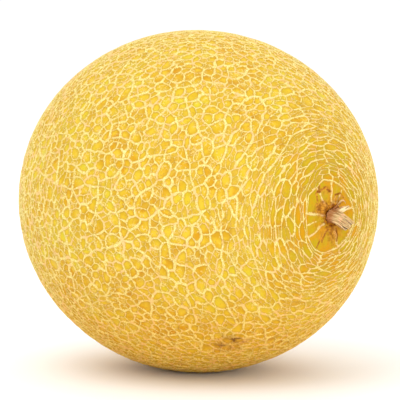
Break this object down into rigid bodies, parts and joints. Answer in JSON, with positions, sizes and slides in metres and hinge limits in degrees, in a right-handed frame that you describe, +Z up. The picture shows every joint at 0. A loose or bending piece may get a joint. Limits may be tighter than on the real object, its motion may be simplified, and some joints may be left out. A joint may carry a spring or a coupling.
{
  "type": "melon",
  "caption": "Whole round netted melon, golden yellow under a raised corky net, with the dry stub of its stem, lying on its side.",
  "frame": {"origin": "on the surface that the melon rests on, under the middle of the whole object's box", "axes": "+X along the fruit's axis towards the stem end, +Z up, the melon lying on its side"},
  "size_m": [0.1532, 0.1338, 0.1333],
  "materials": {
    "rind": null,
    "dry_stem": "matt, dry, ridged and fibrous grey-tan stem"
  },
  "bodies": {
    "root": {"melon": "rind", "stem": "dry_stem"}
  },
  "joints": []
}
